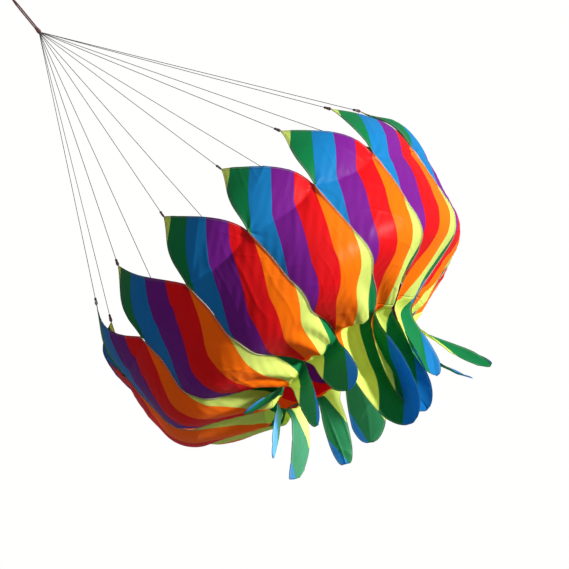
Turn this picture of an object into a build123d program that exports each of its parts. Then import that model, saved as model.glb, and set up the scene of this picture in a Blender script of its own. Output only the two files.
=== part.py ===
from build123d import *
import math
import os

# A spinning drogue that flies from a kite line: a swivel snap, a doubled leader, twelve bridle lines and
# a bowl of twelve staggered cloth panels, each of which ends in a loose tail.
# Millimetres. The origin is the seat inside the snap's hook, where the kite line pulls. +Z is the pull,
# so everything hangs below. Angles round the canopy are degrees clockwise seen from above, from +X.

# Snap hook
hook_inner_r = 7.0  # seat of the kite line's loop
hook_wire_r = 2.5
hook_tip_drop = 3.0  # straight end of the hook past its bend
gate_opening = 14.0  # from the hook's tip to the barrel
barrel_r = 4.6
barrel_wall = 2.35
barrel_floor = 3.0
bolt_inside = 10.0  # bolt left in the barrel when it is shut
bolt_travel = 11.0
spring_length = 18.0
spring_wire_r = 0.3
spring_turns = 7
knob_pin_r = 1.2
knob_head_r = 3.2
knob_head_length = 2.6
knob_below_rim = 4.5
slot_clearance = 0.15
base_width = 9.2
base_chamfer = 0.8
bolt_chamfer = 0.5
running_clearance = 0.05
tip_clearance = 0.2

# Swivel eye
stem_r = 2.5
rivet_head_r = 4.0
rivet_head_height = 2.0
thrust_clearance = 0.1
collar_r = 4.5
collar_height = 2.0
eye_inner_r = 6.0
eye_wire_r = 2.0

# Leader and bridle
leader_r = 2.0  # each of the two strands
leader_length = 145.0  # from the eye's bar to the bridle knot
leader_slant = 3.7  # degrees
strand_gap = 0.3
bight_clearance = 0.3
whipping_wall = 1.0
whipping_length = 8.0
neck_below_eye = 20.0  # where the two strands come together
whipping_below_neck = 3.0
strand_bends = [22.0, 18.0]  # at the neck and below the eye
knot_r = 6.0
knot_length = 20.0
knot_bulge = 1.4
line_r = 0.75
line_ring_r = 3.4  # circle on which the lines leave the knot
line_knot_r = 2.2
mouth_offset = 34.0  # of the mouth's centre from the knot, along X
mouth_drop = 690.0  # of the mouth's centre below the knot

# Canopy
panel_count = 12
cloth = 1.2
canopy_lean = 5.0  # degrees, of the canopy's axis from the pull
first_tip_angle = -5.8
crowding = 9.3  # degrees by which the panels bunch up towards -Y
belly_r = 463.0
belly_depth = 100.0
belly_fillet = 150.0
lip_inset = 50.0  # of the lip inside the belly
shoulder_inset = 23.0
shoulder_depth = 380.0
shoulder_fillet = 80.0
vent_r = 240.0
vent_depth = 460.0
seam_start_depth = 176.0  # each panel's free corner stands this far ahead of its seam
front_edge_depth = 62.0  # of the front edge at front_edge_share of the panel's width
front_edge_share = 0.58
vent_cord_r = 1.0

# Tip loops
loop_length = 17.0
loop_width = 7.0
loop_tape = 2.0
loop_depth = 4.0

# Tails, one for each panel in turn: lengths, degrees that they stand out from the canopy's axis, and
# degrees that they lean sideways
tail_lengths = [193, 193, 240, 240, 193, 193, 193, 193, 193, 193, 193, 193]
tail_base = 60.0
tail_width = 58.0
tail_belly = 0.5  # share of the length at which a tail is tail_width wide
tail_clearance = 3.0
tail_flares = [24, -8, -20, -12, 38, 34, 85, 40, 50, 25, 5, 38]
tail_leans = [-5, 20, 6, 6, 10, 10, -20, -38, 12, -22, -40, 3]

os.makedirs("parts", exist_ok=True)


def write(builder, label):
    """Labels a finished piece and writes it."""
    builder.part.label = label
    export_step(builder.part, f"parts/{label}.step")


# ---- Snap hook: cast body, sliding bolt, thumb knob, spring ----
hook_x = hook_inner_r + hook_wire_r
hook_bend_z = -hook_inner_r
hook_tip_z = hook_bend_z - hook_tip_drop
rim_z = hook_tip_z - gate_opening
bore_r = barrel_r - barrel_wall
bolt_r = bore_r - running_clearance
bolt_foot_z = rim_z - bolt_inside
bore_floor_z = bolt_foot_z - spring_length
base_top_z = bore_floor_z
base_z = base_top_z - barrel_floor - hook_wire_r
knob_z = rim_z - knob_below_rim
slot_half = knob_pin_r + slot_clearance
base_length = hook_x + barrel_r + hook_x + hook_wire_r

with BuildPart() as snap_body:
    with BuildLine() as hook_path:
        shank = Line((-hook_x, 0, base_z + hook_wire_r), (-hook_x, 0, hook_bend_z))
        bend = ThreePointArc(shank @ 1, (0, 0, hook_wire_r), (hook_x, 0, hook_bend_z))
        Line(bend @ 1, (hook_x, 0, hook_tip_z))
    with BuildSketch(Plane(origin=shank @ 0, z_dir=(0, 0, 1))):
        Circle(hook_wire_r)
    sweep()
    with BuildSketch(Plane.XY.offset(base_z)):
        with Locations(((barrel_r - hook_wire_r) / 2, 0)):
            SlotOverall(base_length, base_width)
    extrude(amount=base_top_z - base_z)
    with BuildSketch(Plane.XY.offset(base_z)):
        with Locations((hook_x, 0)):
            Circle(barrel_r)
    extrude(amount=rim_z - base_z)
    chamfer(snap_body.faces().filter_by(Plane.XY).sort_by(Axis.Z)[0].edges(), base_chamfer)
    with BuildSketch(Plane.XY.offset(bore_floor_z)):
        with Locations((hook_x, 0)):
            Circle(bore_r)
    extrude(amount=rim_z - bore_floor_z, mode=Mode.SUBTRACT)
    with BuildSketch(Plane.YZ.offset(hook_x)):
        with Locations((0, knob_z - bolt_travel / 2)):
            SlotCenterToCenter(bolt_travel, 2 * slot_half, rotation=90)
    extrude(amount=2 * barrel_r, mode=Mode.SUBTRACT)
    with Locations((0, 0, base_z)):
        Cylinder(
            stem_r + running_clearance,
            base_top_z - base_z,
            align=(Align.CENTER, Align.CENTER, Align.MIN),
            mode=Mode.SUBTRACT,
        )
write(snap_body, "snap_body")

with BuildPart() as snap_bolt:
    with BuildSketch(Plane.XY.offset(bolt_foot_z)):
        with Locations((hook_x, 0)):
            Circle(bolt_r)
    extrude(amount=hook_tip_z - tip_clearance - bolt_foot_z)
    chamfer(snap_bolt.faces().sort_by(Axis.Z)[-1].edges(), bolt_chamfer)
    with BuildSketch(Plane.YZ.offset(hook_x)):
        with Locations((0, knob_z)):
            Circle(knob_pin_r)
    extrude(amount=bolt_r, mode=Mode.SUBTRACT)
write(snap_bolt, "snap_bolt")

with BuildPart() as thumb_knob:
    with BuildSketch(Plane.YZ.offset(hook_x)):
        with Locations((0, knob_z)):
            Circle(knob_pin_r)
    extrude(amount=barrel_r + slot_clearance)
    with BuildSketch(Plane.YZ.offset(hook_x + barrel_r + slot_clearance)):
        with Locations((0, knob_z)):
            Circle(knob_head_r)
    extrude(amount=knob_head_length)
    fillet(thumb_knob.faces().sort_by(Axis.X)[-1].edges(), knob_head_length / 3)
write(thumb_knob, "thumb_knob")

spring_r = bolt_r - spring_wire_r - running_clearance
spring_rise = spring_length - 2 * spring_wire_r
with BuildPart() as bolt_spring:
    with BuildLine():
        coil = Helix(
            pitch=spring_rise / spring_turns,
            height=spring_rise,
            radius=spring_r,
            center=(hook_x, 0, bore_floor_z + spring_wire_r),
        )
    with BuildSketch(Plane(origin=coil @ 0, z_dir=coil % 0)):
        Circle(spring_wire_r)
    sweep(is_frenet=True)
write(bolt_spring, "bolt_spring")

# ---- Swivel eye: rivet head, stem, collar and ring in one piece ----
collar_z = base_z - thrust_clearance - collar_height
eye_r = eye_inner_r + eye_wire_r
eye_z = collar_z - eye_r
bar_z = eye_z - eye_r
head_z = base_top_z + thrust_clearance

with BuildPart() as swivel_eye:
    with BuildSketch(Plane.XZ):
        with BuildLine():
            Polyline(
                (0, head_z + rivet_head_height),
                (rivet_head_r, head_z + rivet_head_height),
                (rivet_head_r, head_z),
                (stem_r, head_z),
                (stem_r, base_z - thrust_clearance),
                (collar_r, base_z - thrust_clearance),
                (collar_r, collar_z),
                (0, collar_z),
                close=True,
            )
        make_face()
    revolve(axis=Axis.Z)
    fillet(swivel_eye.faces().sort_by(Axis.Z)[-1].edges(), rivet_head_height / 3)
    with Locations(Plane(origin=(0, 0, eye_z), z_dir=(0, 1, 0))):
        Torus(eye_r, eye_wire_r)
write(swivel_eye, "swivel_eye")

# ---- Leader: one doubled cord round the eye's bar, whipped below it, down to the knot ----
slant = math.radians(leader_slant)
knot_x = -leader_length * math.sin(slant)
knot_z = bar_z - leader_length * math.cos(slant)
bight_r = eye_wire_r + leader_r + bight_clearance
strand_y = leader_r + strand_gap / 2
knot = Vector(knot_x, 0, knot_z)
leader_up = Vector(math.sin(slant), 0, math.cos(slant))
knot_top = knot + leader_up * (knot_length / 2)
knot_foot = knot - leader_up * (knot_length / 2)
neck = Vector(0, 0, bar_z) - leader_up * neck_below_eye


def strand_points(side):
    """One strand's route from the knot up to the side of the eye's bar."""
    return [
        (knot_top.X, side * strand_y, knot_top.Z),
        (neck.X, side * strand_y, neck.Z),
        (0, side * bight_r, bar_z - neck_below_eye / 2),
        (0, side * bight_r, bar_z),
    ]


with BuildPart() as leader_cord:
    with BuildLine():
        up = FilletPolyline(*strand_points(1), radius=strand_bends)
        ThreePointArc(up @ 1, (0, 0, bar_z + bight_r), (0, -bight_r, bar_z))
        FilletPolyline(*reversed(strand_points(-1)), radius=strand_bends[::-1])
    with BuildSketch(Plane(origin=up @ 0, z_dir=up % 0)):
        Circle(leader_r)
    sweep()
write(leader_cord, "leader_cord")

whipping_at = neck - leader_up * (whipping_length + whipping_below_neck)
with BuildPart() as leader_whipping:
    with BuildSketch(Plane(origin=whipping_at, x_dir=(0, 1, 0), z_dir=leader_up)):
        SlotCenterToCenter(2 * strand_y, 2 * (leader_r + whipping_wall))
        SlotCenterToCenter(2 * strand_y, 2 * leader_r, mode=Mode.SUBTRACT)
    extrude(amount=whipping_length)
write(leader_whipping, "leader_whipping")

# ---- Bridle knot: the wrapped lump that holds the leader and the lines ----
with BuildPart() as bridle_knot:
    with BuildSketch(Plane(origin=knot, x_dir=(0, 1, 0), z_dir=leader_up.cross(Vector(0, -1, 0)))):
        with BuildLine():
            side = Spline(
                (knot_r - knot_bulge, -knot_length / 2),
                (knot_r, -knot_length / 5),
                (knot_r - knot_bulge / 2, knot_length / 10),
                (knot_r - knot_bulge, knot_length / 2),
            )
            Polyline(side @ 1, (0, knot_length / 2), (0, -knot_length / 2), side @ 0)
        make_face()
    revolve(axis=Axis(knot, leader_up))
write(bridle_knot, "bridle_knot")

# ---- Canopy frame ----
lean = math.radians(canopy_lean)
mouth = knot + Vector(mouth_offset, 0, -mouth_drop)
canopy_up = Vector(math.sin(lean), 0, math.cos(lean))
canopy_x = Vector(math.cos(lean), 0, -math.sin(lean))
canopy_y = canopy_up.cross(canopy_x)


def tip_angle(k):
    """Where panel k's free corner is round the canopy."""
    turn = 360 * k / panel_count
    return turn + first_tip_angle + crowding * math.cos(math.radians(turn))


def outward(angle):
    """The direction away from the canopy's axis."""
    a = math.radians(angle)
    return canopy_x * math.cos(a) - canopy_y * math.sin(a)


def along(angle):
    """The direction round the canopy in which the angle grows."""
    a = math.radians(angle)
    return canopy_x * -math.sin(a) - canopy_y * math.cos(a)


def on_canopy(angle, radius, depth):
    """A point of the canopy, with its depth below the mouth."""
    return mouth + outward(angle) * radius - canopy_up * depth


lip_r = belly_r - lip_inset
shoulder_r = belly_r - shoulder_inset


def radius_at(depth):
    """The canopy's radius ahead of its shoulder."""
    if depth < belly_depth:
        return lip_r + (belly_r - lip_r) * depth / belly_depth
    return belly_r + (shoulder_r - belly_r) * (depth - belly_depth) / (shoulder_depth - belly_depth)


# ---- Panels: strips of the bowl, each cut off slantwise from its free corner to its seam ----
for k in range(panel_count):
    left = tip_angle(k)
    width = left - tip_angle(k - 1)
    tip = on_canopy(left, lip_r, 0)
    crown = on_canopy(left - front_edge_share * width, radius_at(front_edge_depth), front_edge_depth)
    seam = on_canopy(left - width, radius_at(seam_start_depth), seam_start_depth)
    with BuildPart() as panel:
        with BuildSketch(Plane(origin=mouth, x_dir=outward(left), z_dir=outward(left).cross(canopy_up))):
            with BuildLine():
                FilletPolyline(
                    (lip_r, 0),
                    (belly_r, -belly_depth),
                    (shoulder_r, -shoulder_depth),
                    (vent_r, -vent_depth),
                    radius=[belly_fillet, shoulder_fillet],
                )
                offset(amount=cloth / 2)
            make_face()
        revolve(axis=Axis(mouth, canopy_up), revolution_arc=width)
        for start, end in ((tip, crown), (crown, seam)):
            cut = outward(left - width / 2).cross(end - start)
            split(bisect_by=Plane(origin=start, z_dir=cut), keep=Keep.BOTTOM)
    write(panel, f"panel_{k + 1:02d}")

# ---- Vent cord: draws the seams' rear ends in to the small rear opening ----
with BuildPart() as vent_cord:
    vent_cord_ring = vent_r - cloth - vent_cord_r
    vent_plane = Plane(origin=mouth - canopy_up * vent_depth, z_dir=canopy_up)
    with Locations(vent_plane):
        Torus(vent_cord_ring, vent_cord_r)
write(vent_cord, "vent_cord")

# ---- Tip loops and bridle lines ----
for k in range(panel_count):
    angle = tip_angle(k)
    tip = on_canopy(angle, lip_r, 0)
    start = knot_foot + outward(angle) * line_ring_r
    pull = (start - tip).normalized()
    loop_end = tip + pull * loop_length
    reach = (start - loop_end).length
    bead_top = math.sqrt(line_knot_r**2 - line_r**2)

    with BuildPart() as tip_loop:
        loop_plane = Plane(origin=tip + pull * (loop_length / 2), x_dir=pull, z_dir=along(angle))
        with BuildSketch(loop_plane):
            SlotOverall(loop_length, loop_width)
            SlotOverall(loop_length - 2 * loop_tape, loop_width - 2 * loop_tape, mode=Mode.SUBTRACT)
        extrude(amount=loop_depth / 2, both=True)
    write(tip_loop, f"tip_loop_{k + 1:02d}")

    with BuildPart() as bridle_line:
        with BuildSketch(Plane(origin=loop_end, x_dir=pull, z_dir=pull.cross(along(angle)))):
            with BuildLine():
                bead = ThreePointArc((-line_knot_r, 0), (0, line_knot_r), (bead_top, line_r))
                Polyline(bead @ 1, (reach, line_r), (reach, 0), bead @ 0)
            make_face()
        revolve(axis=Axis(loop_end, pull))
    write(bridle_line, f"bridle_line_{k + 1:02d}")

# ---- Tails: the loose rear corners of the panels ----
for k in range(panel_count):
    left = tip_angle(k)
    middle = (left + tip_angle(k - 1)) / 2
    flare = math.radians(tail_flares[k])
    tilt = math.radians(tail_leans[k])
    rim = on_canopy(middle, vent_r, vent_depth)
    trail = outward(middle) * math.sin(flare) - canopy_up * math.cos(flare)
    face = along(middle).cross(trail)
    end = (tail_lengths[k] * math.sin(tilt), tail_lengths[k] * math.cos(tilt))
    belly = (tail_belly * end[0], tail_belly * end[1])
    half = tail_width / 2
    with BuildPart() as tail:
        with BuildSketch(Plane(origin=rim, x_dir=along(middle), z_dir=face)):
            with BuildLine():
                ThreePointArc((-tail_base / 2, tail_clearance), (belly[0] - half, belly[1]), end)
                ThreePointArc(end, (belly[0] + half, belly[1]), (tail_base / 2, tail_clearance))
                Line((tail_base / 2, tail_clearance), (-tail_base / 2, tail_clearance))
            make_face()
        extrude(amount=cloth / 2, both=True)
    write(tail, f"tail_{k + 1:02d}")
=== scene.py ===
import math
import bpy
import numpy as np
from mathutils import Matrix, Vector


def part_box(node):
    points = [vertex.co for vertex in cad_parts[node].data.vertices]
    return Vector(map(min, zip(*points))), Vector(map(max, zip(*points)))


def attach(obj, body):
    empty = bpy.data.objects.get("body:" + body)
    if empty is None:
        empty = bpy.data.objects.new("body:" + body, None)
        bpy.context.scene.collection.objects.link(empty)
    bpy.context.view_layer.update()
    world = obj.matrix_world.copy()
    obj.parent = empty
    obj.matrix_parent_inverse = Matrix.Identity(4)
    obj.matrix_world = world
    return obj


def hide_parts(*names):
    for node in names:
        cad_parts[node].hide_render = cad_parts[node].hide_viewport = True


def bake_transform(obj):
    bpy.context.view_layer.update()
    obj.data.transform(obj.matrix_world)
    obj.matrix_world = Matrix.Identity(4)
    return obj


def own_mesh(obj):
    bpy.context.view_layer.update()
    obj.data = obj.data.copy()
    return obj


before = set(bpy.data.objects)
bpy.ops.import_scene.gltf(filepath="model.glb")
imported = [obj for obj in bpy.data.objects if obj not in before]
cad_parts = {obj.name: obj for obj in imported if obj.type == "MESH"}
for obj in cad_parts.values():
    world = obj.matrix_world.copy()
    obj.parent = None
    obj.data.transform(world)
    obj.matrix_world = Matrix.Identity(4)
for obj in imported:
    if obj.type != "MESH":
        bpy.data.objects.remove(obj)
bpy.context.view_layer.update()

# A spinning drogue that flies from a kite line: twelve striped cloth panels, each with a loose tail, twelve
# bridle lines, a doubled leader and a swivel snap. Metres, +Z along the pull, angles clockwise from above.

# ---------------------------------------------------------------- sizes
PANELS = 12
LEAN = math.radians(5)
FIRST_TIP, CROWDING = -5.8, 9.3
LIP_R, BELLY_R, SHOULDER_R, VENT_R = 0.413, 0.463, 0.440, 0.240
BELLY_DEPTH, SHOULDER_DEPTH, VENT_DEPTH = 0.100, 0.380, 0.460
BELLY_FILLET, SHOULDER_FILLET = 0.150, 0.080
SEAM_START = 0.176
PANEL_WIDTH = 0.236
STRIPE = 0.0607
CLOTH = 0.0006
TAIL_LENGTH = 0.190

SLANT = math.radians(3.7)
BAR_Z = -0.0756
EYE_WIRE_R = 0.002
LEADER_LENGTH, LEADER_R, STRAND_GAP = 0.145, 0.002, 0.0003
BIGHT_CLEARANCE = 0.0003
NECK_BELOW_EYE, WHIPPING_LENGTH, WHIPPING_BELOW_NECK = 0.020, 0.008, 0.003
KNOT_LENGTH, KNOT_R, KNOT_BULGE = 0.020, 0.006, 0.0014
LINE_R, LINE_RING_R, LINE_KNOT_R = 0.00075, 0.0034, 0.0022
LINE_FUZZ = 1.12  # how much the fuzz of a line adds to its radius
LOOP_LENGTH, LOOP_WIDTH, LOOP_DEPTH = 0.017, 0.007, 0.004

SPRING_WIRE_R, SPRING_TURNS, BOLT_TRAVEL = 0.0003, 7, 0.011

LEADER_UP = np.array([math.sin(SLANT), 0, math.cos(SLANT)])
BAR = np.array([0, 0, BAR_Z])
KNOT = BAR - LEADER_UP * LEADER_LENGTH
MOUTH = KNOT + np.array([0.034, 0, -0.690])
UP = np.array([math.sin(LEAN), 0, math.cos(LEAN)])
ACROSS = np.array([math.cos(LEAN), 0, -math.sin(LEAN)])
AWAY = np.array([0.0, 1.0, 0.0])


# ---------------------------------------------------------------- directions and small maths
def unit(v):
    return v / np.maximum(np.linalg.norm(v, axis=-1, keepdims=True), 1e-12)


def smooth(x, a, b):
    t = np.clip((x - a) / (b - a), 0, 1)
    return t * t * (3 - 2 * t)


def outward(angle):
    a = np.radians(angle)
    return np.multiply.outer(np.cos(a), ACROSS) - np.multiply.outer(np.sin(a), AWAY)


def along(angle):
    a = np.radians(angle)
    return -np.multiply.outer(np.sin(a), ACROSS) - np.multiply.outer(np.cos(a), AWAY)


def tip_angle(k):
    turn = 360 * k / PANELS
    return turn + FIRST_TIP + CROWDING * math.cos(math.radians(turn))


def rounded(points, radii, steps=12):
    """A run of points with its corners rounded."""
    out = [np.array(points[0])]
    for a, b, c, r in zip(points, points[1:], points[2:], radii):
        a, b, c = map(np.array, (a, b, c))
        u, v = unit(a - b), unit(c - b)
        half = math.acos(u @ v) / 2
        centre = b + unit(u + v) * r / math.sin(half)
        start, end = b + u * r / math.tan(half), b + v * r / math.tan(half)
        first = math.atan2(*(start - centre)[::-1])
        turn = (math.atan2(*(end - centre)[::-1]) - first + math.pi) % (2 * math.pi) - math.pi
        for i in range(steps + 1):
            t = first + turn * i / steps
            out.append(centre + r * np.array([math.cos(t), math.sin(t)]))
    return np.array(out + [np.array(points[-1])])


PROFILE = rounded(
    [(LIP_R, 0), (BELLY_R, BELLY_DEPTH), (SHOULDER_R, SHOULDER_DEPTH), (VENT_R, VENT_DEPTH)],
    [BELLY_FILLET, SHOULDER_FILLET],
)
RUN = np.concatenate([[0], np.cumsum(np.linalg.norm(np.diff(PROFILE, axis=0), axis=1))])
LENGTH = RUN[-1]


def meridian(run):
    """Radius and depth at a run along the cloth, and the outward normal's two shares."""
    radius, depth = np.interp(run, RUN, PROFILE[:, 0]), np.interp(run, RUN, PROFILE[:, 1])
    step = 0.004
    dr = np.interp(run + step, RUN, PROFILE[:, 0]) - np.interp(run - step, RUN, PROFILE[:, 0])
    dd = np.interp(run + step, RUN, PROFILE[:, 1]) - np.interp(run - step, RUN, PROFILE[:, 1])
    size = np.hypot(dr, dd)
    return radius, depth, dd / size, dr / size


# ---------------------------------------------------------------- the panels' surface
SEAM_DRIFT = ([0, 0.176, 0.330, 0.460], [0, 6, 4, 0])
# Degrees each seam swings sideways at three runs along the cloth; the last is the rear rim.
SEAM_RUNS = [0.25, 0.36, 0.46, 0.58]
SEAM_SWINGS = [
    (1, -2, 0),
    (2, 0, 5),
    (0, 0, -5),
    (1, 3.5, 1),
    (2, 4, 3),
    (4, 4, 3),
    (0, 0, 0),
    (0, 0, 0),
    (0, 0, 0),
    (0, 0, 0),
    (0, 0, 0),
    (0, 0, 0),
]
BILLOWS = [0.003, 0.004, 0.008, 0.012, 0.012, 0.012, 0.014, 0.018, 0.015, 0.012, 0.009, 0.009]
# Folds behind the free corners: how deep the cloth dips behind each.
FOLDS = [0.008, 0.009, 0.012, 0.016, 0.016, 0.012, 0.008, 0.008, 0.008, 0.008, 0.008, 0.008]
FOLD_WIDTH = 0.030
SEAM_START_RUN = float(np.interp(SEAM_START, PROFILE[:, 1], RUN))
PUCKER_HEIGHT, PUCKER_REACH = 0.0035, 0.024
CREASES = [(0.085, 0.6, 0.0017), (0.061, -0.9, 0.0013), (0.110, 1.35, 0.0016), (0.047, 0.15, 0.0008)]
# How each free front edge runs: over 1 it drops late, under 1 it drops near the tip.
FRONTS = [1.7, 1.7, 1.7, 1.7, 1.55, 1.15, 0.95, 1.7, 1.7, 1.7, 1.7, 1.7]
# Degrees each free left edge bellies out sideways between its tip and the seam.
EDGE_BULGES = [1.0, 2.0, 1.9, 1.6, 1.2, 1.2, 0.0, 1.0, 1.0, 1.0, 1.0, 1.0]
# How far each front flap stands out.
FLAPS = [0.022, 0.0, 0.0, 0.0, 0.0, 0.0, 0.0, 0.0, 0.0, 0.0, 0.0, 0.010]
# How far each right seam draws in at the rear.
GATHERS = [0.004, 0.004, 0.010, 0.020, 0.020, 0.020, 0.020, 0.020, 0.020, 0.020, 0.020, 0.020]


def left_edge(k, run):
    """The angle of panel k's left edge, where its tip is."""
    angle = tip_angle(k) + np.interp(meridian(run)[1], *SEAM_DRIFT)
    before = 0
    for start, end, swing in zip(SEAM_RUNS, SEAM_RUNS[1:], SEAM_SWINGS[k]):
        angle = angle + (swing - before) * smooth(run, start, end)
        before = swing
    return angle


def right_edge(k, run):
    return left_edge(k - 1, run) if k else left_edge(PANELS - 1, run) - 360


def front_edge(k):
    """Panel k's front edge, as shares across the panel and runs, from the tip to the seam."""
    wide = tip_angle(k) - tip_angle(k - 1)
    s = np.linspace(0, 1, 60)
    depth = SEAM_START * s
    drift = np.interp(depth, *SEAM_DRIFT)
    share = ((wide - 6) * (1 - (1 - s) ** FRONTS[k]) + drift) / wide
    return share / share[-1], np.interp(depth, PROFILE[:, 1], RUN)


def puckers(across, past, turns, phase):
    """A star of small pleats round the point where a seam begins; metres across and past it."""
    away = np.hypot(across, past)
    star = np.cos(turns * np.arctan2(past, across) + phase)
    return PUCKER_HEIGHT * star * np.exp(-away / PUCKER_REACH) * away / (away + 0.005)


def creases(k, x, run):
    """Crisp creases of thin taffeta, in patches: pitch, slant and height of each set."""
    out = 0
    for i, (pitch, slant, height) in enumerate(CREASES):
        wander = 0.5 * np.sin(11 * x + 7 * i + k) + 0.4 * np.sin(8 * run - 5 * i + 1.7 * k)
        line = (x * math.cos(slant) + run * math.sin(slant)) / pitch + wander
        ridge = (1 - np.abs(np.sin(np.pi * line))) ** 4
        patch = smooth(np.sin(13 * x + 9 * run * (i - 1.2) + 2.3 * k + 1.9 * i), 0.0, 0.9)
        out = out + height * ridge * patch
    return out


def relief(k, share, run):
    """How far panel k's cloth stands out from the bowl."""
    share, run = np.broadcast_arrays(np.asarray(share, float), np.asarray(run, float))
    inside = np.sin(np.pi * np.clip(share, 0, 1))
    out = BILLOWS[k] * inside**0.8 * (0.4 + 0.6 * smooth(run, 0.1, 0.3))
    away = np.abs(run - 0.190 - 0.014 * inside) / FOLD_WIDTH
    out = out - FOLDS[k] * (0.5 + 0.5 * smooth(share, 0.0, 0.7)) * inside**0.3 * np.exp(-away)
    out = out + FLAPS[k] * inside**0.5 * smooth(run, 0.0, 0.08) * (1 - smooth(run, 0.16, 0.34))
    rear = smooth(run, 0.40, LENGTH)
    out = out + 0.006 * rear * np.sin(2 * np.pi * (2 * share + 0.13 * k) + 2 * np.sin(3 * share + k))
    out = out - GATHERS[k] * rear * (1 - inside)
    ripple = 0.0004 * np.sin(37 * share + 11 * run / STRIPE + k) * np.sin(2.3 * k + 5 * share - 9 * run)
    x = share * PANEL_WIDTH
    begun = run - SEAM_START_RUN
    out = out + puckers(PANEL_WIDTH - x, begun, 7, k) + puckers(x, begun, 6, 1.3 * k)
    out = out + creases(k, x, run) * inside**0.5
    pleats = np.sin(2 * np.pi * (4.5 * share + 0.3 * np.sin(7 * share + k)))
    out = out + 0.0010 * smooth(run, 0.50, LENGTH) * pleats
    return out + ripple * smooth(run, 0.05, 0.2) + 0.0028 * smooth(share, 0.965, 1.0) - 0.0005


def panel_point(k, share, run, lift=0.0):
    radius, depth, n_out, n_up = meridian(run)
    left = left_edge(k, run)
    angle = left - share * (left - right_edge(k, run))
    free = np.sin(np.pi * np.clip(run / SEAM_START_RUN, 0, 1)) ** 2
    angle = angle + EDGE_BULGES[k] * free * np.clip(1 - share, 0, 1) ** 2
    out = relief(k, share, run) + lift
    return (
        MOUTH
        + outward(angle) * (radius + n_out * out)[..., None]
        - UP * (depth - n_up * out)[..., None]
    )


def panel_grid(k, across=72, down=190):
    """Panel k's points and its flat pattern: metres across the cloth and along it."""
    edge_share, edge_run = front_edge(k)
    share = np.linspace(0, 1, across + 1)
    start = np.interp(share, edge_share, edge_run)
    run = start[None, :] + (LENGTH - start[None, :]) * np.linspace(0, 1, down + 1)[:, None]
    share = np.broadcast_to(share, run.shape)
    return panel_point(k, share, run), share * PANEL_WIDTH, run


# ---------------------------------------------------------------- the tails' surface
SHALLOW = (0.1, 0.1, 0.1)
ROUND_FROM = 0.78  # share of a tail's length where its rounded end begins
# The tails in turn: metres longer than the shortest (ext), metres wide in the middle, degrees that the
# face turns by the tip, degrees that the tip curls outward, where the cloth's middle lies across it, how
# it is cupped at its root, middle and tip, how round its end is, and how much painted glow it gets:
# an emission and a paler colour, as painted sunlight through the cloth.
TAILS = [
    dict(ext=0.08, width=0.05, turn=60, curl=10, centre=0.38, camber=SHALLOW, rounding=0.6, sunlit=0.05),
    dict(ext=0.03, width=0.09, turn=15, curl=0, centre=0.62, camber=SHALLOW, rounding=1, sunlit=0.05),
    dict(ext=0.11, width=0.10, turn=30, curl=5, centre=0.42, camber=(0.3, 0.4, 0.1), rounding=1, sunlit=0),
    dict(ext=0.12, width=0.13, turn=40, curl=5, centre=0.46, camber=(0.3, 0.5, 0.1), rounding=1, sunlit=0),
    dict(ext=0.0, width=0.09, turn=0, curl=-10, centre=0.66, camber=SHALLOW, rounding=1, sunlit=0.12),
    dict(ext=0.0, width=0.07, turn=10, curl=0, centre=0.64, camber=SHALLOW, rounding=1, sunlit=0.25),
    dict(ext=0.0, width=0.06, turn=0, curl=0, centre=0.60, camber=SHALLOW, rounding=1, sunlit=0),
    dict(ext=0.0, width=0.08, turn=0, curl=0, centre=0.70, camber=SHALLOW, rounding=1, sunlit=0.85),
    dict(ext=0.04, width=0.07, turn=10, curl=20, centre=0.49, camber=SHALLOW, rounding=0.25, sunlit=0.6),
    dict(ext=0.03, width=0.06, turn=20, curl=0, centre=0.56, camber=SHALLOW, rounding=0.5, sunlit=0.2),
    dict(ext=0.04, width=0.10, turn=0, curl=-10, centre=0.49, camber=SHALLOW, rounding=0.8, sunlit=0.3),
    dict(ext=0.08, width=0.05, turn=50, curl=10, centre=0.55, camber=SHALLOW, rounding=0.6, sunlit=0.05),
]


def rim_frame(k):
    """The middle of panel k's rear rim, with the directions outward, along and down there."""
    middle = (left_edge(k, LENGTH) + right_edge(k, LENGTH)) / 2
    return MOUTH + outward(middle) * VENT_R - UP * VENT_DEPTH, outward(middle), along(middle), -UP


def tail_line(k, t):
    """Tail k's middle line and the half width across it at shares t, along its CAD tail."""
    tail = TAILS[k]
    rim, out, side, _ = rim_frame(k)
    low, high = (np.array(corner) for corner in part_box(f"tail_{k + 1:02d}"))
    hang = unit((low + high) / 2 - rim)
    corners = panel_point(k, np.array([0.0, 1.0]), np.full(2, LENGTH))
    lead = unit((corners - panel_point(k, np.array([0.0, 1.0]), np.full(2, LENGTH - 0.02))).mean(0))
    away = unit(out - hang * (out @ hang))
    curl = math.radians(tail["curl"]) * smooth(t, 0.3, 1.0)[:, None]
    hanging = hang * np.cos(curl) + away * np.sin(curl)
    free = smooth(t, 0.0, 0.30)[:, None]
    heading = unit(lead * (1 - free) + hanging * free)
    steps = (TAIL_LENGTH + tail["ext"]) * np.diff(t)[:, None] * (heading[1:] + heading[:-1]) / 2
    middle = corners.mean(0) + np.vstack([np.zeros(3), np.cumsum(steps, axis=0)])
    flat = unit(-side - heading * (heading @ -side)[:, None])
    turn = math.radians(tail["turn"]) * smooth(t, 0.05, 0.9)[:, None]
    across = flat * np.cos(turn) + np.cross(heading, flat) * np.sin(turn)
    leaf = (0.72 + 0.28 * np.sin(np.pi * np.clip(t, 0, 1)))[:, None] * tail["width"] / 2
    return middle, (corners[1] - corners[0]) / 2 * (1 - free) + across * leaf * free


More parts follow.
